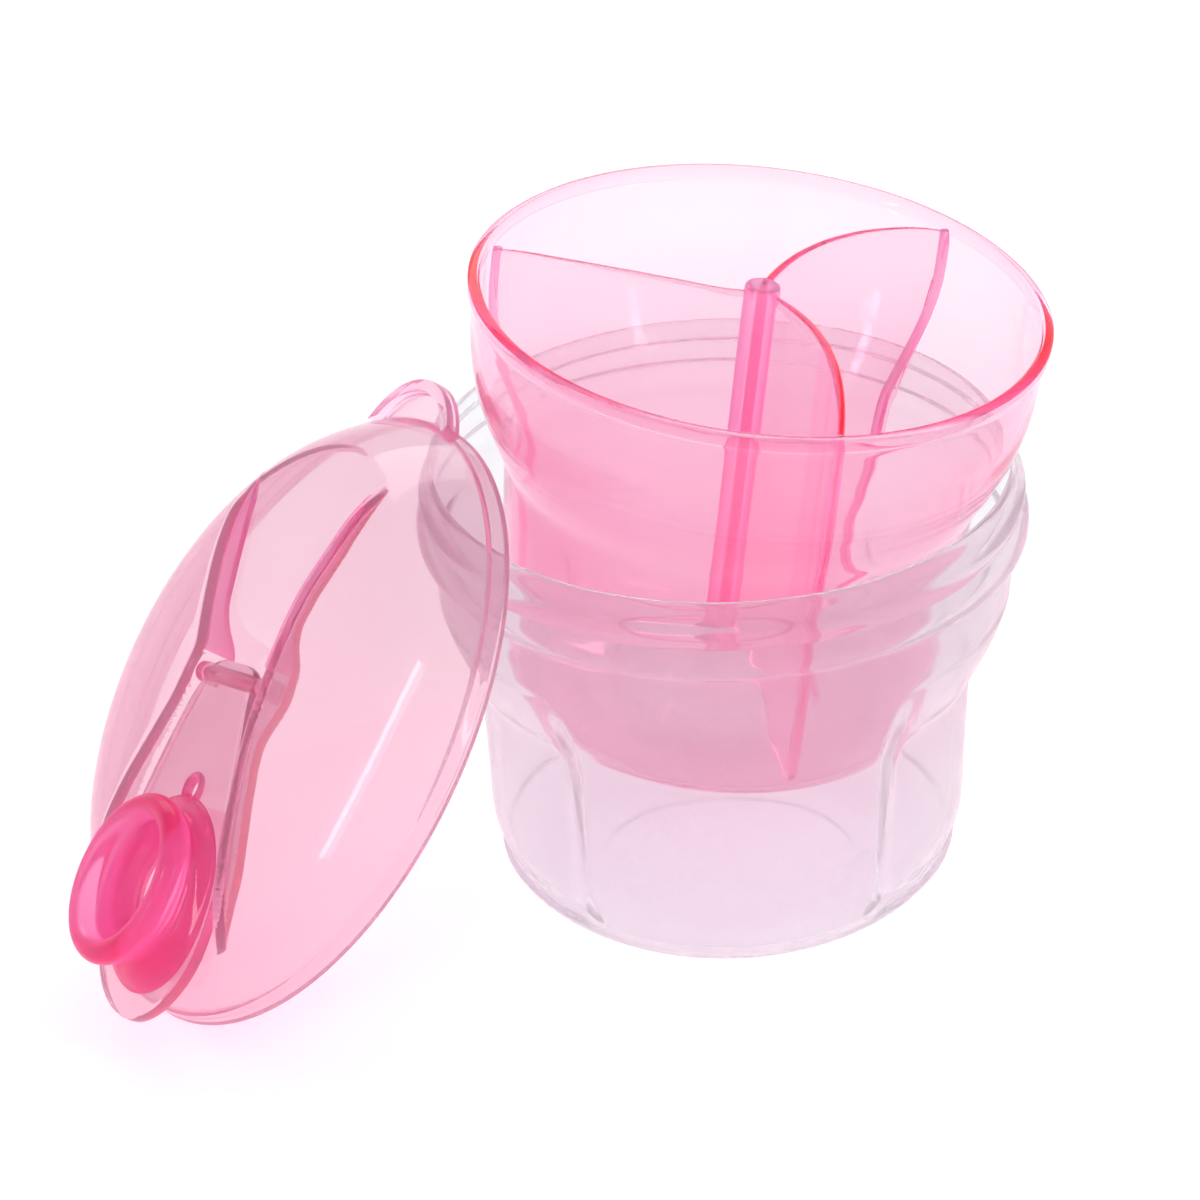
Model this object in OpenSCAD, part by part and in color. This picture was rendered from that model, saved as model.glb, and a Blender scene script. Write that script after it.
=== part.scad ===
// Toddler snack container: a clear outer cup, a pink bowl split into three by a
// drop-in divider insert, and a pink domed lid with a flip tongue. The bowl is
// lifted and tipped in the cup and the lid lies against the floor, dome outward.
// Millimetres. Origin: centre of the cup's base. +Z up, +X the way the bowl leans.

/* [Cup] */
// height of the cup's lip above its base
cup_height = 84.1; // [80:0.1:90]
// thickness of the cup's side wall
cup_wall = 1.25; // [1:0.05:1.6]
// thickness of the cup's floor
cup_floor = 1.8; // [1.2:0.1:3]
// how far round each finger grip reaches
grip_angle = 102; // [80:1:120]

/* [Bowl] */
// lean of the lifted bowl
bowl_lean = 7; // [0:0.5:8]
// height of the lifted bowl's rim over the cup's lip
bowl_lift = 30.9; // [30:0.1:40]
// thickness of the bowl's side wall
bowl_wall = 1.2; // [1:0.05:1.6]

/* [Divider insert] */
// thickness of each divider
divider_wall = 1.2; // [0.8:0.1:2]
// outer diameter of the centre post
post_diameter = 6.2; // [5:0.1:9]
// width of the shallow dish in the centre post's top
post_dish = 4.4; // [2:0.1:4.6]
// how far each divider curls round between the post and the wall
divider_swirl = 38; // [0:1:45]

/* [Lid] */
// height of the dome's top over the trough's datum plane
dome_height = 10.5; // [10.3:0.1:13]
// radius of the lid's skirt
lid_radius = 55.8; // [55.8:0.1:56.4]
// depth of the skirt below the rim plane
skirt_depth = 8; // [7.5:0.1:9]
// thickness of the lid's wall
lid_wall = 1.5; // [1.2:0.1:1.7]
// projection of the lift tab beyond the skirt
tab_reach = 6.9; // [5:0.1:9]

/* [Tongue] */
// thickness of the tongue's plate
tongue_plate = 1.3; // [1:0.1:1.5]
// radius of the pour bore through the tongue and the lid
pour_radius = 6.2; // [5:0.1:7.5]
// radius of the hole under the collar, through the tongue
collar_bore = 8.2; // [7.8:0.1:8.4]
// radius of the ring's rolled lip, at the middle of its roll
ring_radius = 13.2; // [12.6:0.1:13.6]
// radius of the hinge pin
pin_radius = 1.0; // [0.8:0.05:1.1]
// gap round the pin in each lid ear
pin_gap = 0.05; // [0.02:0.01:0.1]

/* [Hidden] */

$fn = 96;

clear_plastic = [0.90, 0.88, 0.90, 0.45];
pink_plastic = [0.96, 0.62, 0.76];
deep_pink = [0.95, 0.47, 0.66];

// where the lifted bowl stands
bowl_at = [7.5, 0, cup_height + bowl_lift];
bowl_depth = 79.2;

// how the lid lies: centre of its rim plane, lean from upright, heading, and the
// turn that points the tongue
lid_at = [-78.8, -23.19, 50.45];
lid_lean = 53.35;
lid_heading = 197.16;
lid_turn = 23;

// hinge line of the tongue in the lid's frame, and the ring's centre
hinge_x = -1.2;
hinge_z = 8.0;
ring_x = 37.6;

module bowl_frame() { translate(bowl_at) rotate([0, bowl_lean, 0]) children(); }
module lid_frame() { translate(lid_at) rotate([0, lid_lean, lid_heading]) rotate([0, 0, lid_turn]) children(); }

// ------------------------------------------------------------------ outer cup
// profiles are lists of [radius, height]; u moves the shoulder and neck with the lip
u = cup_height - 84.1;

function cup_outside() = [
    [24, 0], [30, 0.7], [35, 2.9], [38.9, 6.4], [41.5, 11], [42.9, 15.5], [43.5, 20], [44.5, 30],
    [46, 42 + u], [47.2, 46.5 + u], [48.5, 50 + u], [49.4, 53.5 + u], [50.0, 57.5 + u], [50.4, 62 + u], [50.5, 69.3 + u],
    [52.3, 69.6 + u], [53.2, 70.6 + u], [53.45, 72.2 + u], [53.3, 73.8 + u], [52.6, 74.9 + u], [51.9, 75.4 + u],
    [52.0, 76.6 + u], [52.7, 77.3 + u], [52.8, 78.3 + u], [52.6, 79.3 + u], [51.9, 80.1 + u], [51.3, 80.5 + u],
    [51.15, 82 + u], [51.15, 83.8 + u], [50.85, 84.1 + u]];

function cup_inside() = [
    [23.5, cup_floor], [29.6, cup_floor + 0.6], [34.2, cup_floor + 2.5], [37.8, cup_floor + 5.6], [40.3, 11.6], [41.6, 15.9], [42.25, 20.1],
    [43.25, 30], [44.75, 42.3 + u], [45.95, 46.9 + u], [47.25, 50.4 + u], [48.15, 53.8 + u], [48.8, 57.7 + u], [49.2, 62 + u],
    [49.3, 68.6 + u], [50.5, 70.4 + u], [51.0, 72.2 + u], [50.6, 74.6 + u], [50.5, 76.4 + u], [50.5, 78.3 + u], [50.2, 80.2 + u],
    [50.1, 82 + u], [50.1, 83.9 + u], [50.3, 84.1 + u]];

// the finger grips are scooped out of both sides
function grip_face() = [[38.6, 8.6], [40.3, 11.8], [41.5, 15.2], [42.1, 24.8], [42.6, 33.2], [43.1, 41 + u],
    [43.7, 44.4 + u], [45.4, 47.6 + u], [47.4, 51.6 + u], [49.0, 55.3 + u], [50.2, 59 + u]];

module spin(profile) { rotate_extrude() polygon(profile); }

module grips(inset, widen, reach) {
    for (side = [0, 180])
        rotate([0, 0, side - grip_angle / 2 - widen])
            rotate_extrude(angle = grip_angle + 2 * widen)
                polygon(concat([for (p = grip_face()) [p[0] - inset, p[1] + inset * 0.1]], [[reach, 59.2 + u], [reach, 8.4]]));
}

module cup_body() {
    difference() {
        spin(concat([[0, 0]], cup_outside(), [[0, 84.1 + u]]));
        grips(0, 0, 60);
    }
}

module cup_hollow() {
    difference() {
        spin(concat([[0, cup_floor]], cup_inside(), [[50.3, 86 + u], [0, 86 + u]]));
        grips(cup_wall, 1.6, 60);
    }
}

module outer_cup() {
    color(clear_plastic) difference() {
        cup_body();
        cup_hollow();
    }
}

// ----------------------------------------------------------------- inner bowl
// depth is measured down from the rim's top, so these run from 0 to -bowl_depth
bt = bowl_wall;

function bowl_outside() = [
    [49.6, 0], [50.25, -0.25], [50.5, -0.9], [50.5, -2.0], [50.2, -2.6], [49.4, -2.75],
    [49.3, -8], [48.6, -15], [47.5, -19], [46.5, -22.5], [44.9, -26.3], [43.1, -30], [41.4, -33.4],
    [40.5, -43], [39.5, -54], [38.3, -66], [37.3, -72], [36.1, -76], [34.2, -78.4], [31.8, -79.2],
    [19.6, -79.2], [17.6, -78.2], [16.6, -76], [15.4, -73.4], [13.4, -72.6], [0, -72.4]];

function bowl_inside() = [
    [0, -71.2], [13.8, -71.4], [16.3, -72.4], [17.7, -75.2], [18.7, -77.3], [20, -78],
    [31.5, -78], [33.6, -77.4], [35.2 , -75.4], [37.25 - bt, -71.7], [38.25 - bt, -66], [39.45 - bt, -54], [40.45 - bt, -43],
    [41.3 - bt, -33.2], [42.9 - bt, -29.4], [44.7 - bt, -25.7], [46.3 - bt, -22], [47.3 - bt, -18.6], [48.4 - bt, -14.8],
    [49.2 - bt, -8], [49.2 - bt, -0.5], [48.3, 0]];

module inner_bowl() {
    color(pink_plastic) bowl_frame() spin(concat(bowl_outside(), bowl_inside()));
}

// ------------------------------------------------------------- divider insert
// each divider leaves the post and curls round to the bowl's wall
function swirl_point(a0, r, off) =
    let (f = (r - 2) / 45, a = a0 - divider_swirl * pow(max(f, 0), 0.51))
    [r * cos(a) - off * sin(a), r * sin(a) + off * cos(a)];

module divider_plan(a0) {
    radii = [for (r = [1.6 : 2.32 : 48.1]) r];
    polygon(concat(
        [for (r = radii) swirl_point(a0, r, divider_wall / 2)],
        [for (i = [len(radii) - 1 : -1 : 0]) swirl_point(a0, radii[i], -divider_wall / 2)]));
}

// the space the insert fills: 0.35 inside the bowl, its top edge rising from the
// wall to meet the domed lid and dipping a little at the post
module insert_space() {
    g = 0.35;
    spin([
        [0, -71.2 + g], [13.8, -71.4 + g], [16.5, -72.4 + g], [18.0, -75.0 + g], [19, -76.9 + g], [20.2, -78 + g],
        [31.4, -78 + g], [33.2, -77.2 + g], [34.6, -75.2 + g], [36.9 - bt, -71.6], [37.9 - bt, -66], [39.1 - bt, -54], [40.1 - bt, -43],
        [40.9 - bt, -33.2], [42.5 - bt, -29.2], [44.3 - bt, -25.5], [45.9 - bt, -21.8], [46.9 - bt, -18.4], [48.0 - bt, -14.6],
        [48.8 - bt, -8], [48.8 - bt, -1.7], [45, -0.6], [40, 0.6], [35, 1.4], [30, 2.0], [22, 2.4], [14, 2.2], [6, 1.5], [0, 1.3]]);
}

module divider_insert() {
    color(pink_plastic) bowl_frame() difference() {
        union() {
            intersection() {
                translate([0, 0, -82]) linear_extrude(90)
                    for (k = [0 : 2]) divider_plan(202.5 + 120 * k);
                insert_space();
            }
            translate([0, 0, -70.85]) cylinder(h = 73.05, d = post_diameter);
        }
        translate([0, 0, 1.7]) cylinder(h = 4, d = post_dish);
    }
}

// ------------------------------------------------------------------------ lid
// everything below is in the lid's frame: +X along the tongue, +Y across it,
// +Z out of the dome, zero 8 above the rim's edge
dome_edge = -5;

function dome(r, top, edge) = dome_edge + (top - dome_edge) * (1 - pow(min(r / edge, 1), 6));

function dome_curve(top, edge) = [for (i = [0 : 24]) let (r = edge * sin(i * 3.75)) [r, dome(r, top, edge)]];

module dome_solid() {
    spin(concat([[0, -skirt_depth]], [for (p = dome_curve(dome_height, lid_radius)) p],
        [[lid_radius, -skirt_depth + 1.2], [lid_radius + 0.35, -skirt_depth + 0.9], [lid_radius + 0.35, -skirt_depth]]));
}

module dome_hollow() {
    spin(concat([[0, -skirt_depth - 1]], [for (p = dome_curve(dome_height - lid_wall, lid_radius - lid_wall)) p],
        [[lid_radius - lid_wall, -skirt_depth - 1]]));
}

// trough across the dome: half-widths along it on either side
trough_left = [[-60, 34], [-48, 30], [-39.5, 26.6], [-32, 23.2], [-22, 19.5], [-13, 15.6], [-5, 11.7], [5, 12.5], [12, 14.5], [20, 17.2], [30, 20.1], [38, 21.0], [45, 21.2], [60, 21.4]];
trough_right = [[-60, 21.5], [-48, 18.6], [-38, 16.8], [-27, 14.8], [-19, 12.2], [-13, 11.4], [-5, 11.4], [5, 12.5], [12, 14.5], [20, 17.2], [30, 20.1], [38, 21.0], [45, 21.2], [60, 21.4]];

module trough_plan(grow) {
    polygon(concat(
        [for (p = trough_right) [p[0], p[1] + grow]],
        [for (i = [len(trough_left) - 1 : -1 : 0]) [trough_left[i][0], -trough_left[i][1] - grow]]));
}

// the trough's floor seen from the side, with the pocket the tongue's root turns in
floor_line = [[-60, 3.0], [-46, 5.6], [-30, 7.3], [-20, 7.7], [-15, 7.9], [-12, 7.0], [-9, 5.2], [-6, 4.5], [0.5, 4.5],
    [3, 5.1], [6, 6.5], [10, 6.8], [19, 6.2], [30, 4.8], [39, 3.8], [50, 2.2], [56, 1.4], [62, 0.9]];

module side_slab(line, under, height) {
    translate([0, 40, 0]) rotate([90, 0, 0]) linear_extrude(80)
        polygon(concat([for (p = line) [p[0], p[1] - under]], [[62, height], [-60, height]]));
}

module trough_cut() {
    intersection() {
        translate([0, 0, -2]) linear_extrude(30) trough_plan(0);
        side_slab(floor_line, 0, 30);
    }
}

module trough_block() {
    intersection() {
        dome_solid();
        translate([0, 0, -skirt_depth]) linear_extrude(40) trough_plan(1.3);
        side_slab(floor_line, 1.4, 30);
    }
}

// ears on the trough's walls hold the tongue's pin
module ears() {
    for (s = [-1, 1]) {
        translate([hinge_x, s * 10.95, hinge_z]) rotate([90, 0, 0]) cylinder(h = 2, r = 1.9, center = true);
        translate([hinge_x - 1.9, s * 10.95 - 1, 3.8]) cube([3.8, 2, hinge_z - 3.8]);
    }
}

module lid_shell() {
    color(pink_plastic) lid_frame() difference() {
        union() {
            difference() {
                union() {
                    difference() { dome_solid(); dome_hollow(); }
                    trough_block();
                }
                trough_cut();
            }
            ears();
        }
        translate([hinge_x, 0, hinge_z]) rotate([90, 0, 0]) cylinder(h = 23.8, r = pin_radius + pin_gap, center = true);
        translate([ring_x, 0, -5]) cylinder(h = 20, r = pour_radius);
    }
}

// a D-shaped tab with a raised border, opposite the tongue
module lift_tab() {
    tab_r = 16;
    tab_x = -(lid_radius + tab_reach) + tab_r;
    color(deep_pink) lid_frame() difference() {
        translate([tab_x, 0, -6]) cylinder(h = 3, r = tab_r);
        translate([tab_x, 0, -4.4]) cylinder(h = 3, r = tab_r - 2.3);
        translate([0, 0, -12]) cylinder(h = 20, r = lid_radius);
    }
}

// --------------------------------------------------------------------- tongue
tongue_top = [[-4, 9.5], [0.5, 9.5], [10, 8.8], [19, 8.0], [30, 6.6], [39, 5.6], [50, 4.0], [60.5, 2.7]];
tongue_half = [[-4, 4.6], [-3.2, 7.2], [-2, 8.6], [0, 9.4], [5, 11.3], [10, 13], [20, 16], [26, 17.8], [30, 18.9], [34, 19.5],
    [38, 19.7], [42, 19.4], [46, 18.5], [50, 16.5], [53, 14.2], [56, 11], [58, 7.6], [59.2, 4.4], [59.7, 1.5]];

module tongue_slab(line, under) {
    translate([0, 40, 0]) rotate([90, 0, 0]) linear_extrude(80)
        polygon(concat(line, [for (i = [len(line) - 1 : -1 : 0]) [line[i][0], line[i][1] - under]]));
}

module flip_tongue() {
    color(pink_plastic) lid_frame() difference() {
        union() {
            intersection() {
                linear_extrude(30) polygon(concat([for (p = tongue_half) p],
                    [for (i = [len(tongue_half) - 1 : -1 : 0]) [tongue_half[i][0], -tongue_half[i][1]]]));
                tongue_slab(tongue_top, tongue_plate);
            }
            translate([hinge_x, 0, hinge_z]) rotate([90, 0, 0]) cylinder(h = 18.8, r = 1.55, center = true);
        }
        translate([hinge_x, 0, hinge_z]) rotate([90, 0, 0]) cylinder(h = 20, r = pin_radius + 0.02, center = true);
        translate([18.9, 0, 0]) cylinder(h = 20, r = 2);
        translate([ring_x, 0, 0]) cylinder(h = 20, r = collar_bore);
    }
}

// flared collar standing on the tongue, with a rolled lip and a stepped bore
module pour_ring() {
    rt = 2.5;
    color(deep_pink) lid_frame() difference() {
        union() {
            translate([ring_x, 0, 0]) spin([[collar_bore, 1], [17.2, 1], [17.2, 6.2], [16.6, 7.0], [15.6, 7.7], [14.6, 8.8], [14.1, 10.2],
                [14.3, 11.4], [ring_radius + 0.2, 12.9], [ring_radius - 2.0, 12.4], [10.4, 11.2], [9.8, 9.6], [9.2, 8.2], [8.7, 7.3], [collar_bore, 6.4]]);
            translate([ring_x, 0, 12.7]) rotate_extrude() translate([ring_radius, 0]) circle(r = rt);
        }
        tongue_slab([for (p = concat([[-4, 9.5]], tongue_top)) p], 20);
    }
}

module hinge_pin() {
    color(deep_pink) lid_frame()
        translate([hinge_x, 0, hinge_z]) rotate([90, 0, 0]) cylinder(h = 23.2, r = pin_radius, center = true);
}

outer_cup();
inner_bowl();
divider_insert();
lid_shell();
lift_tab();
flip_tongue();
pour_ring();
hinge_pin();
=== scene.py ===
import bpy
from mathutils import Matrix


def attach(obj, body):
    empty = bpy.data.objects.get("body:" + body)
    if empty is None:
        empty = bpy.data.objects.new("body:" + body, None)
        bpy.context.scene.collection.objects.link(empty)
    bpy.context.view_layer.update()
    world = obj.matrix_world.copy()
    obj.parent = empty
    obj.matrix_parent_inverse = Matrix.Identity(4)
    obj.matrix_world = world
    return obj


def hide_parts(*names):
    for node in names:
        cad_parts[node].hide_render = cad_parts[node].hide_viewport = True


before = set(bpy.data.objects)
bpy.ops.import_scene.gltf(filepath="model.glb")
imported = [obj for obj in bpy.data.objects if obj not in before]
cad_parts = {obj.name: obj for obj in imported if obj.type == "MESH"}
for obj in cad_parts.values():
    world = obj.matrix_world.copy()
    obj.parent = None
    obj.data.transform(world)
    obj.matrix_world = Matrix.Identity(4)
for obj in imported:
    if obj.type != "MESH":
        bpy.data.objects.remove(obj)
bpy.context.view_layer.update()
import bpy, bmesh, math
import numpy as np
from mathutils import Vector, Matrix

MM = 0.001
ease = lambda x: (lambda t: t * t * (3 - 2 * t))(np.clip(x, 0.0, 1.0))

# ----------------------------------------------------------------- placing
def rot(a, axis):
    return Matrix.Rotation(math.radians(a), 4, axis)

BOWL = Matrix.Translation((7.5, 0, 115.0)) @ rot(7, "Y")
LID = Matrix.Translation((-78.8, -23.19, 50.45)) @ rot(197.16, "Z") @ rot(53.35, "Y") @ rot(23, "Z")
CUP = Matrix.Identity(4)

# ------------------------------------------------------------- mesh helpers
def curve(points, step=0.8):
    """Catmull-Rom through [x, y] points; a third value 1 keeps a corner sharp."""
    pts = [tuple(p) for p in points]
    out = []
    runs, run = [], [pts[0]]
    for p in pts[1:]:
        run.append(p)
        if len(p) > 2 and p[2]:
            runs.append(run); run = [p]
    if len(run) > 1:
        runs.append(run)
    for run in runs:
        P = np.array([q[:2] for q in run], float)
        if len(P) == 2:
            n = max(1, int(np.hypot(*(P[1] - P[0])) / (step * 2)))
            out += [tuple(P[0] + (P[1] - P[0]) * k / n) for k in range(n)]
            continue
        E = np.vstack([2 * P[0] - P[1], P, 2 * P[-1] - P[-2]])
        for i in range(1, len(E) - 2):
            p0, p1, p2, p3 = E[i - 1 : i + 3]
            t = [0.0]
            for a, b in ((p0, p1), (p1, p2), (p2, p3)):
                t.append(t[-1] + max(np.hypot(*(b - a)), 1e-6) ** 0.5)
            n = max(1, int(round(np.hypot(*(p2 - p1)) / step)))
            for k in range(n):
                x = t[1] + (t[2] - t[1]) * k / n
                A1 = (t[1] - x) / (t[1] - t[0]) * p0 + (x - t[0]) / (t[1] - t[0]) * p1
                A2 = (t[2] - x) / (t[2] - t[1]) * p1 + (x - t[1]) / (t[2] - t[1]) * p2
                A3 = (t[3] - x) / (t[3] - t[2]) * p2 + (x - t[2]) / (t[3] - t[2]) * p3
                B1 = (t[2] - x) / (t[2] - t[0]) * A1 + (x - t[0]) / (t[2] - t[0]) * A2
                B2 = (t[3] - x) / (t[3] - t[1]) * A2 + (x - t[1]) / (t[3] - t[1]) * A3
                out.append(tuple((t[2] - x) / (t[2] - t[1]) * B1 + (x - t[1]) / (t[2] - t[1]) * B2))
    out.append(tuple(pts[-1][:2]))
    return np.array(out)

def make(name, verts, faces, place, mat, body, node, sharp=38):
    me = bpy.data.meshes.new(name)
    V = np.asarray(verts, float)
    me.from_pydata((V * MM).tolist(), [], faces)
    me.validate(); me.update()
    bm = bmesh.new(); bm.from_mesh(me)
    bmesh.ops.remove_doubles(bm, verts=bm.verts, dist=2e-6)
    bmesh.ops.recalc_face_normals(bm, faces=bm.faces)
    bm.to_mesh(me); bm.free()
    me.shade_smooth()
    me.set_sharp_from_angle(angle=math.radians(sharp))
    me.materials.append(mat)
    ob = bpy.data.objects.new(name, me)
    bpy.context.scene.collection.objects.link(ob)
    M = place.copy(); M.translation = M.translation * MM
    me.transform(M)
    if node:
        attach(ob, body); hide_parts(node)
    return ob

def ring_faces(rows, cols, close_rows=False):
    """Quads of a grid whose columns close on themselves."""
    F = []
    R = rows if close_rows else rows - 1
    for i in range(R):
        a, b = i * cols, ((i + 1) % rows) * cols
        for j in range(cols):
            k = (j + 1) % cols
            F.append((a + j, a + k, b + k, b + j))
    return F

def lathe(profile, n, shape=None, caps=True):
    """Profile of [radius, height] turned about Z. A point on the axis is one vertex. shape(r, z, phi, i) may move points."""
    P = np.asarray(profile, float)
    phi = np.arange(n) * 2 * math.pi / n
    V, rows = [], []
    for i, (r, z) in enumerate(P):
        if r < 1e-6:
            rows.append((len(V), 1)); V.append((0, 0, z)); continue
        rr, zz = np.full(n, r), np.full(n, z)
        if shape is not None:
            rr, zz = shape(rr, zz, phi, i)
        rows.append((len(V), n))
        V += list(zip(rr * np.cos(phi), rr * np.sin(phi), zz))
    F = []
    pairs = list(zip(rows[:-1], rows[1:]))
    if P[0][0] > 1e-6 and P[-1][0] > 1e-6:
        pairs.append((rows[-1], rows[0]))
    for (a, na), (b, nb) in pairs:
        for j in range(n):
            k = (j + 1) % n
            if na == 1 and nb == 1:
                continue
            if na == 1:
                F.append((a, b + j, b + k))
            elif nb == 1:
                F.append((a + j, a + k, b))
            else:
                F.append((a + j, a + k, b + k, b + j))
    return V, F

def loft(loops):
    """Closed cross-sections, each an array of points, joined along and capped at both ends."""
    m = len(loops[0]); V = [tuple(p) for L in loops for p in L]
    F = ring_faces(len(loops), m)
    for base, flip in ((0, True), ((len(loops) - 1) * m, False)):
        c = len(V); V.append(tuple(np.mean(V[base : base + m], axis=0)))
        for j in range(m):
            k = (j + 1) % m
            F.append((base + j, base + k, c) if flip else (base + k, base + j, c))
    return V, F

# ----------------------------------------------------------------- materials
def plastic(name, tints, absorb, density, rough=(0.03, 0.07), ior=1.4, bump=0.03, grain=90.0, wave=14.0, milk=0.0, milk_tint=(1, 1, 1), through=(1, 1, 1), glow=(1, 0.8, 0.9), painted_shade_low=None):
    """Moulded see-through plastic: light is taken out along its path inside, so thick and edge-on parts go deep. Lamps shine through it."""
    m = bpy.data.materials.new(name); m.use_nodes = True
    nt = m.node_tree; N, L = nt.nodes, nt.links
    N.clear()
    out = N.new("ShaderNodeOutputMaterial")
    b = N.new("ShaderNodeBsdfPrincipled")
    b.inputs["Transmission Weight"].default_value = 1.0
    b.inputs["IOR"].default_value = ior
    co = N.new("ShaderNodeTexCoord")
    big = N.new("ShaderNodeTexNoise"); big.inputs["Scale"].default_value = wave; big.inputs["Detail"].default_value = 2.0
    fine = N.new("ShaderNodeTexNoise"); fine.inputs["Scale"].default_value = grain; fine.inputs["Detail"].default_value = 4.0
    L.new(co.outputs["Object"], big.inputs["Vector"]); L.new(co.outputs["Object"], fine.inputs["Vector"])
    ramp = N.new("ShaderNodeValToRGB")
    ramp.color_ramp.elements[0].position = 0.32; ramp.color_ramp.elements[1].position = 0.70
    ramp.color_ramp.elements[0].color = (*tints[0], 1); ramp.color_ramp.elements[1].color = (*tints[1], 1)
    L.new(big.outputs["Fac"], ramp.inputs["Fac"])
    tint = ramp.outputs["Color"]
    if painted_shade_low:
        # painted shade: below a height the colour is multiplied in, so the bowl is darker where it sits inside the cup
        # (height where it is full, height where it is gone, colour)
        sz = N.new("ShaderNodeSeparateXYZ"); L.new(co.outputs["Object"], sz.inputs[0])
        mh = N.new("ShaderNodeMapRange"); mh.inputs["From Min"].default_value = painted_shade_low[1]; mh.inputs["From Max"].default_value = painted_shade_low[0]
        L.new(sz.outputs["Z"], mh.inputs["Value"])
        mc = N.new("ShaderNodeMix"); mc.data_type = "RGBA"; mc.blend_type = "MULTIPLY"
        L.new(mh.outputs["Result"], mc.inputs["Factor"])
        ia = [i for i in mc.inputs if i.name == "A" and i.type == "RGBA"][0]; ib = [i for i in mc.inputs if i.name == "B" and i.type == "RGBA"][0]
        ib.default_value = (*painted_shade_low[2], 1); L.new(tint, ia)
        tint = [o for o in mc.outputs if o.name == "Result" and o.type == "RGBA"][0]
    L.new(tint, b.inputs["Base Color"])
    mr = N.new("ShaderNodeMapRange")
    mr.inputs["To Min"].default_value = rough[0]; mr.inputs["To Max"].default_value = rough[1]
    mr.inputs["From Min"].default_value = 0.3; mr.inputs["From Max"].default_value = 0.7
    L.new(fine.outputs["Fac"], mr.inputs["Value"]); L.new(mr.outputs["Result"], b.inputs["Roughness"])
    bp = N.new("ShaderNodeBump"); bp.inputs["Strength"].default_value = bump; bp.inputs["Distance"].default_value = 0.001
    L.new(big.outputs["Fac"], bp.inputs["Height"]); L.new(bp.outputs["Normal"], b.inputs["Normal"])
    last = b
    if milk:
        d = N.new("ShaderNodeBsdfTranslucent"); d.inputs["Color"].default_value = (*milk_tint, 1)
        mx = N.new("ShaderNodeMixShader"); mx.inputs["Fac"].default_value = milk
        L.new(b.outputs[0], mx.inputs[1]); L.new(d.outputs[0], mx.inputs[2]); last = mx
    # light that has been turned round many times inside a thin edge leaves here, tinted
    spent = N.new("ShaderNodeBsdfTransparent"); spent.inputs["Color"].default_value = (*glow, 1)
    dp = N.new("ShaderNodeLightPath"); gt = N.new("ShaderNodeMath"); gt.operation = "GREATER_THAN"; gt.inputs[1].default_value = 7.5
    ms = N.new("ShaderNodeMixShader")
    L.new(dp.outputs["Ray Depth"], gt.inputs[0]); L.new(gt.outputs[0], ms.inputs["Fac"])
    L.new(last.outputs[0], ms.inputs[1]); L.new(spent.outputs[0], ms.inputs[2]); last = ms
    see = N.new("ShaderNodeBsdfTransparent"); see.inputs["Color"].default_value = (*through, 1)
    lp = N.new("ShaderNodeLightPath"); sh = N.new("ShaderNodeMixShader")
    L.new(lp.outputs["Is Shadow Ray"], sh.inputs["Fac"]); L.new(last.outputs[0], sh.inputs[1]); L.new(see.outputs[0], sh.inputs[2])
    L.new(sh.outputs[0], out.inputs["Surface"])
    va = N.new("ShaderNodeVolumeAbsorption")
    va.inputs["Color"].default_value = (*absorb, 1); va.inputs["Density"].default_value = density
    L.new(va.outputs[0], out.inputs["Volume"])
    return m

CLEAR = plastic("clear_pp", ((0.87, 0.868, 0.888), (0.89, 0.888, 0.908)), (0.85, 0.55, 0.70), 10, rough=(0.07, 0.13), ior=1.17, milk=0.225, milk_tint=(0.79, 0.85, 0.86), through=(1.0, 0.995, 1.0), glow=(0.97, 0.94, 0.96))
# painted shade: the bowl and dividers turn a deeper pink below the cup's rim, fading out above it
PINK = plastic("pink_pp", ((0.98, 0.972, 0.975), (0.995, 0.98, 0.983)), (0.99, 0.06, 0.49), 120, rough=(0.02, 0.06), ior=1.33, milk=0.035, milk_tint=(0.99, 0.76, 0.86), through=(1.0, 0.985, 0.992), glow=(1.0, 0.90, 0.95), painted_shade_low=(0.080, 0.104, (0.99, 0.88, 0.915)))
LIDPINK = plastic("lid_pink_pp", ((0.935, 0.92, 0.90), (0.955, 0.935, 0.915)), (0.99, 0.06, 0.50), 172, rough=(0.03, 0.08), ior=1.36, milk=0.19, milk_tint=(0.69, 0.67, 0.69), through=(1.0, 0.985, 0.992), glow=(1.0, 0.88, 0.94))
DEEP = plastic("deep_pink_pp", ((0.99, 0.95, 0.97), (1.0, 0.965, 0.98)), (0.995, 0.06, 0.56), 150, rough=(0.03, 0.07), ior=1.38, milk=0.40, milk_tint=(1.0, 0.40, 0.70), through=(1.0, 0.97, 0.985), glow=(1.0, 0.82, 0.91))
TAB = plastic("tab_pink_pp", ((0.99, 0.965, 0.98), (1.0, 0.98, 0.99)), (0.995, 0.06, 0.55), 62, rough=(0.03, 0.07), ior=1.36, milk=0.22, milk_tint=(1.0, 0.60, 0.80), through=(1.0, 0.98, 0.99), glow=(1.0, 0.86, 0.93))
POST = plastic("post_pink_pp", ((0.995, 0.96, 0.98), (1.0, 0.975, 0.99)), (0.995, 0.06, 0.54), 48, rough=(0.04, 0.09), ior=1.25, milk=0.42, milk_tint=(1.0, 0.54, 0.81), through=(1.0, 0.98, 0.99), glow=(1.0, 0.88, 0.94))

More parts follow.
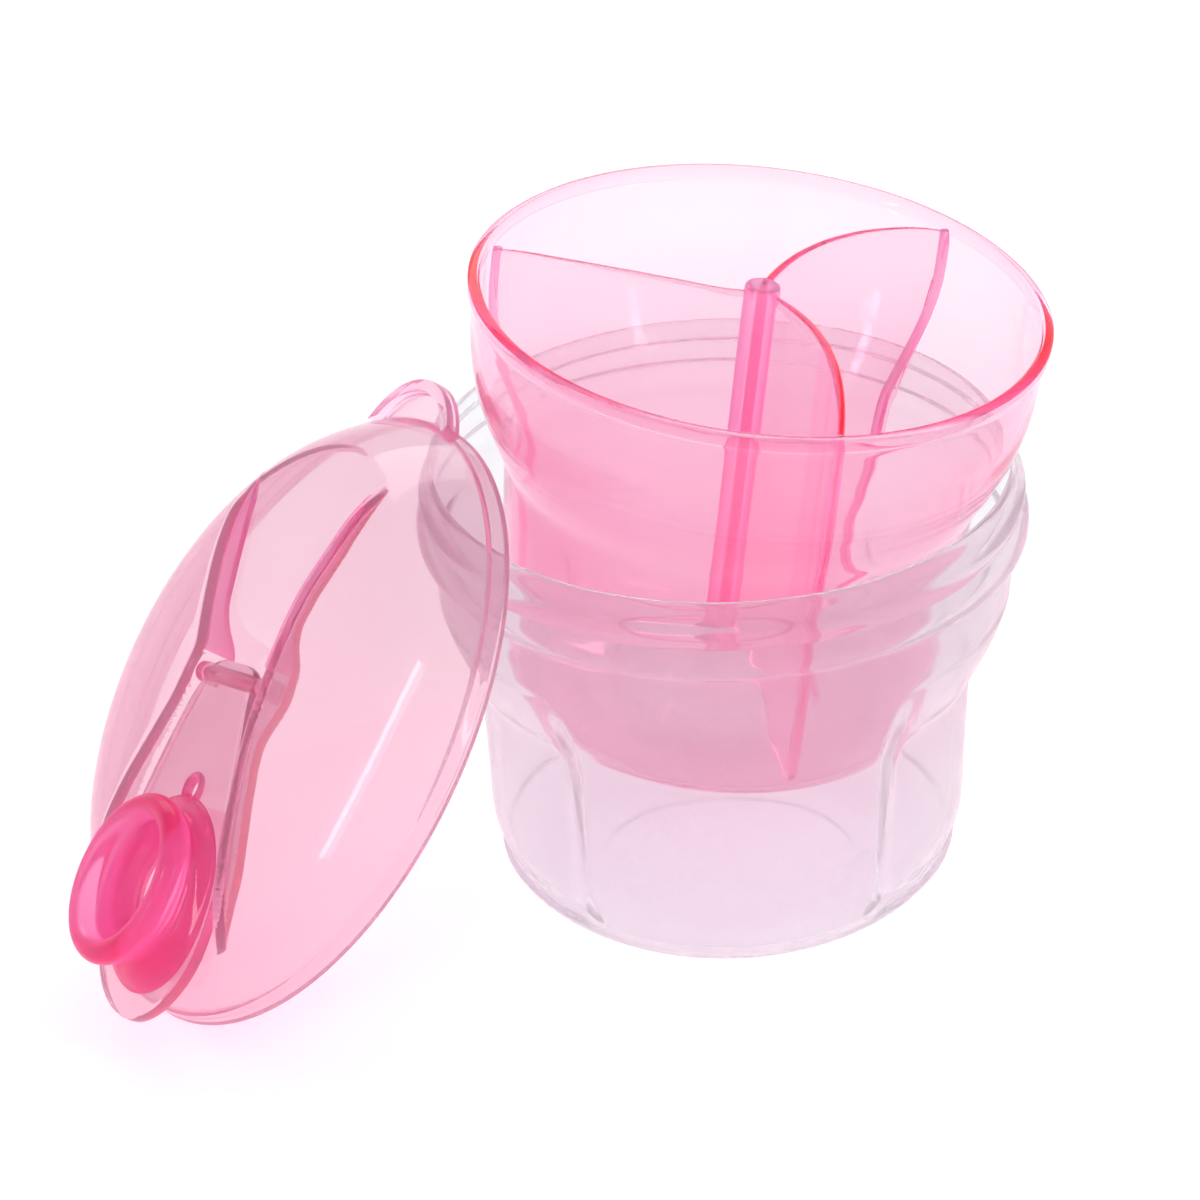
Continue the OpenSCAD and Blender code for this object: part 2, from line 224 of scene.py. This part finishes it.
# ---------------------------------------------------------------- outer cup
cup_out = [(0, 0.5, 1), (14, 0.5), (22.5, 0.45), (23.6, 0.0), (25.5, 0.05), (30, 0.7), (35, 2.9), (38.9, 6.4), (41.5, 11), (42.9, 15.5), (43.5, 20), (44.5, 30), (46, 42), (47.2, 46.5),
    (48.5, 50), (49.4, 53.5), (50.0, 57.5), (50.4, 62), (50.5, 66), (50.55, 68.9), (51.3, 69.6), (52.6, 69.9), (53.3, 71.0), (53.45, 72.4), (53.2, 73.9), (52.5, 75.0),
    (51.95, 75.6), (52.05, 76.5), (52.6, 77.2), (52.8, 78.2), (52.6, 79.3), (51.9, 80.1), (51.35, 80.7), (51.2, 82), (51.15, 83.5), (50.9, 84.1)]
cup_in = [(50.35, 84.1), (50.1, 83.6), (50.1, 82), (50.2, 80.2), (50.45, 78.3), (50.4, 76.4), (50.6, 74.6), (50.95, 72.2), (50.5, 70.4), (49.5, 68.4), (49.2, 62), (48.8, 57.7), (48.15, 53.8), (47.25, 50.4),
    (45.95, 46.9), (44.75, 42.3), (43.25, 30), (42.25, 20.1), (41.6, 15.9), (40.3, 11.6), (37.8, 7.4), (34.2, 4.3), (29.6, 2.4), (25, 1.9), (16.2, 1.85), (15.4, 1.65), (0, 1.65)]
face = np.array([(38.6, 8.6), (40.3, 11.8), (41.5, 15.2), (42.1, 24.8), (42.6, 33.2), (43.1, 41), (43.7, 44.4), (45.4, 47.6), (47.4, 51.6), (49.0, 55.3), (50.2, 59)])
fz = curve(face, 0.6)

def grip(inset, widen):
    def f(r, z, phi, i):
        z0 = z[0] - inset * 0.1
        if z0 < 8.2 or z0 > 59.4:
            return r, z
        rf = np.interp(z0, fz[:, 1], fz[:, 0]) - inset
        a = np.degrees(np.abs((phi + math.pi / 2) % math.pi - math.pi / 2))
        w = ease((51 + widen + 4.0 - a) / 8.0)
        w = w * ease((z0 - 8.2) / 2.2)
        return np.where(rf < r, r + (rf - r) * w, r), z
    return f

go, gi = grip(0, 0), grip(1.25, 1.6)
po, pi_ = curve(cup_out, 0.7), curve(cup_in, 0.7)
no = len(po)
V, F = lathe(np.vstack([po, pi_]), 384, lambda r, z, phi, i: go(r, z, phi, i) if i < no else gi(r, z, phi, i))
make("cup_shell", V, F, CUP, CLEAR, "cup", "outer_cup")

# --------------------------------------------------------------- inner bowl
bowl_out = [(48.9, 0.0), (49.8, -0.1), (50.4, -0.6), (50.5, -1.4), (50.4, -2.2), (50.1, -2.7), (49.7, -2.95), (49.5, -3.5), (49.45, -5), (49.3, -8), (49.05, -11.5), (48.6, -15), (47.7, -19), (46.5, -22.5),
    (44.9, -26.3), (43.1, -30), (41.7, -32.6), (41.2, -34.5), (40.5, -43), (39.5, -54), (38.3, -66), (37.4, -71.5), (36.1, -76), (34.2, -78.4), (31.8, -79.2), (26, -79.2), (20.4, -79.2), (18.2, -78.5), (16.9, -76.2),
    (15.6, -73.8), (13.4, -72.6), (6, -72.45), (0, -72.4)]
bowl_in = [(0, -71.2), (6, -71.25), (13.4, -71.4), (16.0, -72.3), (17.6, -75.0), (18.8, -77.2), (20.6, -78), (26, -78), (31.3, -78), (33.4, -77.4), (34.9, -75.4), (36.05, -71.5), (37.05, -66), (38.25, -54), (39.25, -43),
    (40.0, -34.6), (40.6, -32.2), (41.8, -29.4), (43.5, -25.7), (45.1, -22), (46.3, -18.6), (47.3, -14.8), (47.8, -11.3), (48.05, -8), (48.15, -4.5), (48.2, -1.4), (48.4, -0.35)]
V, F = lathe(np.vstack([curve(bowl_out, 0.7), curve(bowl_in, 0.7)]), 300)
make("bowl_shell", V, F, BOWL, PINK, "bowl", "inner_bowl")

# ----------------------------------------------------------- divider insert
floor_line = np.array([(0, -70.9), (13.4, -71.05), (16.2, -72.0), (17.9, -74.7), (19.2, -76.8), (20.9, -77.6), (31, -77.6), (33.2, -76.9)])
wall_line = np.array([(33.2, -76.9), (34.5, -75.3), (35.7, -71.4), (36.7, -66), (37.9, -54), (38.9, -43), (39.6, -34.6), (40.2, -32.0), (41.4, -29.2), (43.1, -25.5), (44.7, -21.8), (45.9, -18.4), (46.9, -14.6), (47.45, -11.3), (47.65, -8), (47.7, -3.4), (47.7, 3)])
top_r = np.linspace(0, 48, 97)
top_z = np.interp(top_r, [0, 6, 14, 22, 30, 35, 40, 45, 47.6], [1.3, 1.5, 2.2, 2.4, 2.0, 1.4, 0.6, -0.6, -1.7])
top_z = np.convolve(np.pad(top_z, 6, mode="edge"), np.hanning(15)[1:-1] / np.hanning(15)[1:-1].sum(), mode="valid")
def divider(a0, wob):
    loops = []
    n, m, t = 44, 40, 0.62
    for u in np.linspace(0, 1, n):
        rb = 1.5 + (34.2 - 1.5) * u
        zb = np.interp(rb, floor_line[:, 0], floor_line[:, 1]) if rb < 33.2 else np.interp(rb, wall_line[:, 0], wall_line[:, 1])
        rt = 1.5 + (47.7 - 1.5) * u
        zt = float(np.interp(rt, top_r, top_z)) + 0.4 * wob * math.sin(u * 2 * math.pi)
        zs = zb + (zt - t - zb) * np.linspace(0, 1, m) ** 0.95
        pts = []
        for z in zs:
            rm = np.interp(z, wall_line[:, 1], wall_line[:, 0])
            pts.append((1.5 + (rm - 1.5) * u if z > zb else rb, z))
        pts[0] = (min(rb, pts[1][0]), zb)
        top = [(rt, zt - t + t * math.sin(a), t * math.cos(a)) for a in (0.5, 1.1, math.pi / 2, math.pi - 1.1, math.pi - 0.5)]
        def place(r, z, off):
            a = math.radians(a0 - 38 * max((r - 2) / 45, 0) ** 0.51)
            return (r * math.cos(a) - off * math.sin(a), r * math.sin(a) + off * math.cos(a), z)
        L = [place(r, z, t) for r, z in pts] + [place(*q) for q in top] + [place(r, z, -t) for r, z in pts[::-1]]
        loops.append(np.array(L))
    return loft(loops)
for k, (a0, wob) in enumerate(((202.5, 0.45), (322.5, -0.3), (82.5, 0.3))):
    V, F = divider(a0, wob)
    make("divider_%d" % (k + 1), V, F, BOWL, PINK, "insert", "divider_insert")
# each divider ends in a thicker edge that lies against the wall
def seam(a0):
    loops = []
    zs = np.concatenate([np.linspace(-1.2, -9, 8), np.linspace(-11, -34, 24), np.linspace(-37, -74, 14)])
    for i, z in enumerate(zs):
        r = float(np.interp(-z, -wall_line[::-1, 1], wall_line[::-1, 0])) - 0.02
        a = math.radians(a0 - 38 * ((r - 2) / 45) ** 0.51)
        w = 0.95 * (0.35 + 0.65 * float(ease((i + 0.5) / 3)))
        sec = [(r - 1.5, -0.62), (r - 0.75, -0.7), (r - 0.1, -w), (r, -w + 0.1), (r, w - 0.1), (r - 0.1, w), (r - 0.75, 0.7), (r - 1.5, 0.62)]
        loops.append(np.array([(q * math.cos(a) - o * math.sin(a), q * math.sin(a) + o * math.cos(a), z) for q, o in sec]))
    return loft(loops)
for k, a0 in enumerate((202.5, 322.5, 82.5)):
    V, F = seam(a0)
    make("divider_edge_%d" % (k + 1), V, F, BOWL, POST, "insert", "divider_insert")
post = [(0, 1.75), (1.6, 1.78), (2.1, 1.95), (2.35, 2.15), (2.7, 2.2), (3.0, 2.0), (3.1, 1.5), (3.1, -40), (3.15, -62), (3.4, -68), (4.2, -70.4), (4.4, -70.85, 1), (0.0, -70.85)]
V, F = lathe(curve(post, 1.2), 48)
make("post_tube", V, F, BOWL, POST, "insert", "divider_insert")

# ---------------------------------------------------------------- lid shell
R0 = 55.8
BASE = -5.0
def dome(r, top, edge):
    return BASE + (top - BASE) * (1 - np.clip(r / edge, 0, 1) ** 6)
tr_lx = [-60, -48, -39.5, -32, -22, -13, -5, 5, 12, 20, 30, 38, 45, 60]
tr_rx = [-60, -48, -38, -27, -19, -13, -5, 5, 12, 20, 30, 38, 45, 60]
tr_l = [34, 30, 26.6, 23.2, 19.5, 15.6, 11.7, 12.5, 14.5, 17.2, 20.1, 21.0, 21.2, 21.4]
tr_r = [21.5, 18.6, 16.8, 14.8, 12.2, 11.4, 11.4, 12.5, 14.5, 17.2, 20.1, 21.0, 21.2, 21.4]
fl_x = [-60, -46, -30, -20, -13.5, -10, -7, -5, 0.5, 3, 8, 12, 19, 30, 39, 50, 56, 62]
fl_z = [3.0, 5.6, 7.3, 7.7, 7.9, 7.0, 5.2, 4.6, 4.6, 5.2, 6.7, 6.8, 6.3, 4.9, 3.9, 2.2, 1.4, 0.9]
def smooth_interp(x, xs, ys):
    g = np.linspace(xs[0], xs[-1], 481); y = np.interp(g, xs, ys)
    k = np.hanning(17); k /= k.sum()
    y = np.convolve(np.pad(y, 8, mode="edge"), k, mode="valid")
    return np.interp(x, g, y)
def lid_top(x, y):
    r = np.hypot(x, y)
    d = dome(r, 10.5, R0)
    half = np.where(y < 0, smooth_interp(x, tr_lx, tr_l), smooth_interp(x, tr_rx, tr_r))
    out = np.abs(y) - half
    fl = smooth_interp(x, fl_x, fl_z)
    # scooped pocket in the floor behind the hinge and a soft hollow along the middle
    fl = fl - 0.8 * np.exp(-((x + 26) / 16) ** 2 - (y / 9) ** 2)
    fl = np.minimum(d, fl)
    s = ease(out / 1.1)
    bead = 0.6 * np.exp(-((out - 2.4) / 1.15) ** 2) * ease((d - fl - 0.2) / 1.4)
    return fl + (d - fl) * s + bead
def lid_under(x, y):
    r = np.hypot(x, y)
    d = dome(r, 9.0, R0 - 1.5)
    half = np.where(y < 0, smooth_interp(x, tr_lx, tr_l), smooth_interp(x, tr_rx, tr_r))
    out = np.abs(y) - half
    fl = smooth_interp(x, fl_x, fl_z) - 1.4 - 0.8 * np.exp(-((x + 26) / 16) ** 2 - (y / 9) ** 2)
    fl = np.minimum(d, fl)
    return fl + (d - fl) * ease((out - 1.3) / 1.1)

def lid_mesh(n=560, rows=125):
    phi = np.arange(n) * 2 * math.pi / n
    C, S = np.cos(phi), np.sin(phi)
    V, F, start = [], [], []
    def row(r, z):
        start.append(len(V)); V.extend(zip(r * C, r * S, z if np.ndim(z) else np.full(n, z)))
    rr = np.linspace(0, 1, rows)[1:] ** 0.86 * (R0 - 0.45)
    V.append((0, 0, float(lid_top(np.array([0.0]), np.array([0.0]))[0])))
    for r in rr:
        row(r, lid_top(r * C, r * S))
    for r, z in ((R0 - 0.12, BASE + 0.55), (R0, BASE - 0.1), (R0, -6.3), (R0 + 0.05, -6.8), (R0 + 0.32, -7.05), (R0 + 0.4, -7.5), (R0 + 0.3, -7.9), (R0, -8.0), (R0 - 0.9, -8.0), (R0 - 1.3, -7.8), (R0 - 1.45, -7.3), (R0 - 1.5, -6.4)):
        row(r, np.full(n, z))
    ri = np.linspace(1, 0, rows)[:-1]
    for r in ri ** 0.86 * (R0 - 1.62):
        row(r, lid_under(r * C, r * S))
    c = len(V); V.append((0, 0, float(lid_under(np.array([0.0]), np.array([0.0]))[0])))
    for j in range(n):
        k = (j + 1) % n
        F.append((0, start[0] + j, start[0] + k)); F.append((c, start[-1] + k, start[-1] + j))
    for a, b in zip(start[:-1], start[1:]):
        for j in range(n):
            k = (j + 1) % n
            F.append((a + j, b + j, b + k, a + k))
    return V, F

def cut(ob, tools):
    """Bores round holes through a mesh."""
    for V, F, M in tools:
        me = bpy.data.meshes.new("cutter"); me.from_pydata((np.array(V) * MM).tolist(), [], F)
        bm = bmesh.new(); bm.from_mesh(me); bmesh.ops.recalc_face_normals(bm, faces=bm.faces); bm.to_mesh(me); bm.free()
        T = M.copy(); T.translation = T.translation * MM; me.transform(T)
        c = bpy.data.objects.new("cutter", me); bpy.context.scene.collection.objects.link(c)
        md = ob.modifiers.new("bore", "BOOLEAN"); md.operation = "DIFFERENCE"; md.solver = "EXACT"; md.object = c
        bpy.context.view_layer.update()
        ev = ob.evaluated_get(bpy.context.evaluated_depsgraph_get())
        new = bpy.data.meshes.new_from_object(ev)
        ob.modifiers.remove(md)
        ob.data = new
        bpy.data.objects.remove(c)
    ob.data.shade_smooth(); ob.data.set_sharp_from_angle(angle=math.radians(38))
    return ob

ringx = 37.6
tube = lambda x, r, z0, z1: (*lathe([(0, z0), (r, z0), (r, z1), (0, z1)], 72), LID @ Matrix.Translation((x, 0, 0)))
V, F = lid_mesh()
lid = make("lid_dome", V, F, LID, LIDPINK, "lid", "lid_shell")
cut(lid, [tube(ringx, 6.2, -6, 12)])

# the trough's walls are thick at their foot: a solid rib runs along each from the dome's edge to the hinge
def rib(side, xs, table_x, table_h, foot):
    loops = []
    for i, x in enumerate(xs):
        h = float(smooth_interp(np.array([x]), table_x, table_h)[0])
        up = float(dome(math.hypot(x, h), 10.5, R0))
        fl = float(smooth_interp(np.array([x]), fl_x, fl_z)[0]) - 0.8 * math.exp(-((x + 26) / 16) ** 2)
        lo = min(fl, up) + 0.05
        hi = max(lo + 0.15, up - 0.25)
        k = float(ease(min(i / 6, 1))) * 0.9 + 0.1
        t = foot * k
        loops.append(np.array([(x, side * (h - y), z) for y, z in ((0.06, lo), (t, lo), (t + 0.1, lo + 0.2), (0.55 * t + 0.06, (lo + hi) / 2), (0.25 * t + 0.1, hi - 0.1), (0.1, hi))]))
    return loft(loops)
for k, (s_, tx, th2) in enumerate(((-1, tr_lx, tr_l), (1, tr_rx, tr_r))):
    V, F = rib(s_, np.linspace(-38.5, -4.6, 48), tx, th2, 1.5)
    make("trough_rib_%d" % (k + 1), V, F, LID, DEEP, "lid", "lid_shell")

# ears that hold the hinge pin, on the trough's walls
def ear(side):
    loops = []
    hx, hz = -1.2, 8.0
    prof = [(1.9 * math.cos(a), 1.9 * math.sin(a)) for a in np.linspace(0, math.pi, 17)] + [(-1.9, -1.6), (-1.9, -2.9), (0, -3.0), (1.9, -2.9), (1.9, -1.6)]
    for y, s in ((9.9, 0.86), (10.1, 1.0), (11.9, 1.0), (12.4, 1.0)):
        loops.append(np.array([(hx + px * s, side * y, hz + pz * s) for px, pz in prof]))
    return loft(loops)
for k, s in enumerate((-1, 1)):
    V, F = ear(s)
    make("ear_%d" % (k + 1), V, F, LID, LIDPINK, "lid", "lid_shell")
pin = [(0, -11.6), (0.8, -11.6), (1.0, -11.3), (1.0, 11.3), (0.8, 11.6), (0, 11.6)]
V, F = lathe(pin, 32)
make("pin", V, F, LID @ Matrix.Translation((-1.2, 0, 8.0)) @ rot(90, "X"), TAB, "tongue", "hinge_pin")

# ----------------------------------------------------------------- lift tab
def tab():
    TR = 16.0; cx = -(R0 + 6.9) + TR
    loops = []
    lim = math.degrees(math.acos((-53.95 - cx) / TR))
    for a in np.linspace(-(180 - lim) - 1.0, (180 - lim) + 1.0, 61):
        u = math.radians(180 + a)
        # distance from the tab's centre to the skirt along this way
        dx, dy = math.cos(u), math.sin(u)
        b = cx * dx; c = cx * cx - (R0 - 0.3) ** 2
        rs = -b + math.sqrt(max(b * b - c, 0))
        q = [(TR - 0.25, -6.0), (TR, -5.7), (TR, -3.5), (TR - 0.15, -3.15), (TR - 0.5, -3.0), (TR - 1.7, -3.0), (TR - 2.1, -3.15), (TR - 2.3, -3.5), (TR - 2.35, -4.1), (TR - 2.6, -4.35), (TR - 3.2, -4.4)]
        q += [(min(TR - 3.2, max(rs, 0)), -4.4), (min(TR - 3.2, max(rs, 0)), -5.5), (TR - 3.2, -5.5), (TR - 2.4, -5.7), (TR - 2.2, -6.0)]
        q = [(max(r, rs), z) for r, z in q]
        loops.append(np.array([(cx + r * dx, r * dy, z) for r, z in q]))
    return loft(loops)
V, F = tab()
make("tab", V, F, LID, TAB, "lid", "lift_tab")

# -------------------------------------------------------------- flip tongue
tt = np.array([(-4, 9.5), (0.5, 9.5), (10, 8.8), (19, 8.0), (30, 6.6), (39, 5.6), (50, 4.0), (60.5, 2.7)])
th_ = np.array([(-4, 4.6), (-3.2, 7.2), (-2, 8.6), (0, 9.4), (5, 11.3), (10, 13), (20, 16), (26, 17.8), (30, 18.9), (34, 19.5), (38, 19.7), (42, 19.4), (46, 18.5), (50, 16.5), (53, 14.2), (56, 11), (58, 7.6), (59.2, 4.4), (59.7, 1.5)])
plate_top = lambda x: smooth_interp(x, tt[:, 0], tt[:, 1])
def tongue():
    hc = curve(th_, 0.7)
    loops = []
    xs = hc[:, 0]
    for x, w in hc:
        h = float(plate_top(np.array([x]))[0])
        e = 0.62
        L = []
        ys = np.linspace(-(w - e), w - e, 33)
        rim = lambda y: 0.55 * math.exp(-((w - abs(y) - 0.9) / 0.75) ** 2) * float(ease((w - 3) / 4)) * float(ease((x + 2) / 6))
        for y in ys:
            L.append((x, y, h + rim(y)))
        for a in (0.45, math.pi / 4, 1.1, math.pi / 2):
            L.append((x, w - e + e * math.sin(a), h - e + e * math.cos(a)))
        L += [(x, w, h - 1.0), (x, w - 0.25, h - 1.3)]
        for y in ys[::-1]:
            L.append((x, y, h - 1.3))
        L += [(x, -w + 0.25, h - 1.3), (x, -w, h - 1.0)]
        for a in (math.pi / 2, 1.1, math.pi / 4, 0.45):
            L.append((x, -(w - e + e * math.sin(a)), h - e + e * math.cos(a)))
        loops.append(np.array(L))
    return loft(loops)
V, F = tongue()
tg = make("tongue_plate", V, F, LID, LIDPINK, "tongue", "flip_tongue")
cut(tg, [tube(ringx, 8.15, 0, 14), tube(18.9, 2.0, 0, 14)])
barrel = [(1.03, -9.3), (1.4, -9.35), (1.55, -9.1), (1.55, 9.1), (1.4, 9.35), (1.03, 9.3)]
V, F = lathe(barrel, 40)
make("tongue_barrel", V, F, LID @ Matrix.Translation((-1.2, 0, 8.0)) @ rot(90, "X"), LIDPINK, "tongue", "flip_tongue")
eyelet = [(2.0, 6.7), (2.0, 8.25), (2.25, 8.5), (2.75, 8.5), (3.05, 8.2), (3.15, 7.6), (3.15, 7.0)]
V, F = lathe(curve(eyelet, 0.3), 48)
make("tongue_eyelet", V, F, LID @ Matrix.Translation((18.9, 0, -0.1)), DEEP, "tongue", "flip_tongue")

# ---------------------------------------------------------------- pour ring
ring = [(8.2, 5.2), (8.2, 6.2), (8.5, 7.0), (9.0, 7.9), (9.6, 9.2), (9.9, 10.2), (10.5, 11.2), (11.1, 12.4), (11.35, 13.5), (11.7, 14.4), (12.4, 15.0), (13.3, 15.2), (14.3, 15.0), (15.1, 14.3), (15.6, 13.2), (15.55, 12.2),
    (15.1, 11.2), (14.5, 10.4), (14.2, 9.6), (14.4, 8.7), (15.1, 7.8), (16.2, 6.9), (17.2, 6.1), (17.5, 5.5), (17.2, 5.2), (14, 5.2), (10, 5.2)]
base0 = float(plate_top(np.array([ringx]))[0])
def follow(r, z, phi, i):
    k = ease((10.5 - z) / 4.5)
    x = ringx + r * np.cos(phi)
    return r, z + (plate_top(x) - base0) * k
V, F = lathe(curve(ring, 0.45), 160, follow)
make("ring_collar", V, F, LID @ Matrix.Translation((ringx, 0, 0)), DEEP, "tongue", "pour_ring")

# --------------------------------------------------------------- the studio
def stage_mat(name, c0, c1):
    m = bpy.data.materials.new(name); m.use_nodes = True
    nt = m.node_tree; b = nt.nodes["Principled BSDF"]
    n = nt.nodes.new("ShaderNodeTexNoise"); n.inputs["Scale"].default_value = 6.0
    r = nt.nodes.new("ShaderNodeValToRGB")
    r.color_ramp.elements[0].color = (*c0, 1); r.color_ramp.elements[1].color = (*c1, 1)
    nt.links.new(n.outputs["Fac"], r.inputs["Fac"]); nt.links.new(r.outputs["Color"], b.inputs["Base Color"])
    b.inputs["Roughness"].default_value = 0.7; b.inputs["Specular IOR Level"].default_value = 0.1
    b.inputs["Emission Color"].default_value = (1, 1, 1, 1); b.inputs["Emission Strength"].default_value = 0.15
    return m
me = bpy.data.meshes.new("floor")
me.from_pydata([(-6, -6, -0.0002), (6, -6, -0.0002), (6, 6, -0.0002), (-6, 6, -0.0002)], [], [(0, 1, 2, 3)])
me.materials.append(stage_mat("floor_white", (0.93, 0.93, 0.93), (0.95, 0.95, 0.95)))
fl = bpy.data.objects.new("floor", me); bpy.context.scene.collection.objects.link(fl)

w = bpy.data.worlds.new("studio"); bpy.context.scene.world = w; w.use_nodes = True
nt = w.node_tree; bg = nt.nodes["Background"]
tc = nt.nodes.new("ShaderNodeTexCoord"); sep = nt.nodes.new("ShaderNodeSeparateXYZ"); rp = nt.nodes.new("ShaderNodeValToRGB")
nt.links.new(tc.outputs["Generated"], sep.inputs[0])
mr = nt.nodes.new("ShaderNodeMapRange"); mr.inputs["From Min"].default_value = -0.2; mr.inputs["From Max"].default_value = 1.0
nt.links.new(sep.outputs["Z"], mr.inputs["Value"]); nt.links.new(mr.outputs["Result"], rp.inputs["Fac"])
e = rp.color_ramp.elements
e[0].position = 0.12; e[0].color = (1, 1, 1, 1); e[1].position = 0.75; e[1].color = (0.70, 0.70, 0.71, 1)
nt.links.new(rp.outputs["Color"], bg.inputs["Color"]); bg.inputs["Strength"].default_value = 1.08

def lamp(name, where, aim, size, power, size_y=None):
    d = bpy.data.lights.new(name, "AREA"); d.energy = power; d.size = size
    if size_y:
        d.shape = "RECTANGLE"; d.size_y = size_y
    o = bpy.data.objects.new(name, d); bpy.context.scene.collection.objects.link(o)
    o.location = where
    o.rotation_euler = (Vector(aim) - Vector(where)).to_track_quat("-Z", "Y").to_euler()
    return o
lamp("key", (-0.74, -0.56, 0.73), (-0.06, -0.03, 0.05), 0.075, 3.4, 1.15)
lamp("strip", (0.75, -0.55, 0.55), (0, 0, 0.06), 0.07, 1.6, 0.8)
lamp("back", (-0.2, 1.1, 0.75), (-0.03, 0, 0.05), 1.1, 3.0, 0.5)

# ------------------------------------------------------------------- camera
el, D, f, cx, y0, roll = math.radians(30.34), 1255.32, 7000.0, 728.6, 864.9, math.radians(1.69)
Rt = Vector((1, 0, 0)); Fw = Vector((0, math.cos(el), -math.sin(el))); Up = Vector((0, math.sin(el), math.cos(el)))
R2 = Rt * math.cos(roll) - Up * math.sin(roll); U2 = Rt * math.sin(roll) + Up * math.cos(roll)
C = -(Fw * D + R2 * ((cx - 600) / f * D) - U2 * ((y0 - 600) / f * D))
cam = bpy.data.cameras.new("camera"); co = bpy.data.objects.new("camera", cam); bpy.context.scene.collection.objects.link(co)
M = Matrix((R2, U2, -Fw)).transposed().to_4x4(); M.translation = C * MM
co.matrix_world = M
cam.sensor_fit = "HORIZONTAL"; cam.sensor_width = 36.0; cam.lens = 7000 / 1200 * 36.0
cam.clip_start = 0.01; cam.clip_end = 50; cam.dof.use_dof = False
bpy.context.scene.camera = co

sc = bpy.context.scene
sc.view_settings.view_transform = "Standard"
sc.view_settings.look = "None"
sc.cycles.max_bounces = 24; sc.cycles.transparent_max_bounces = 32; sc.cycles.transmission_bounces = 20; sc.cycles.glossy_bounces = 20
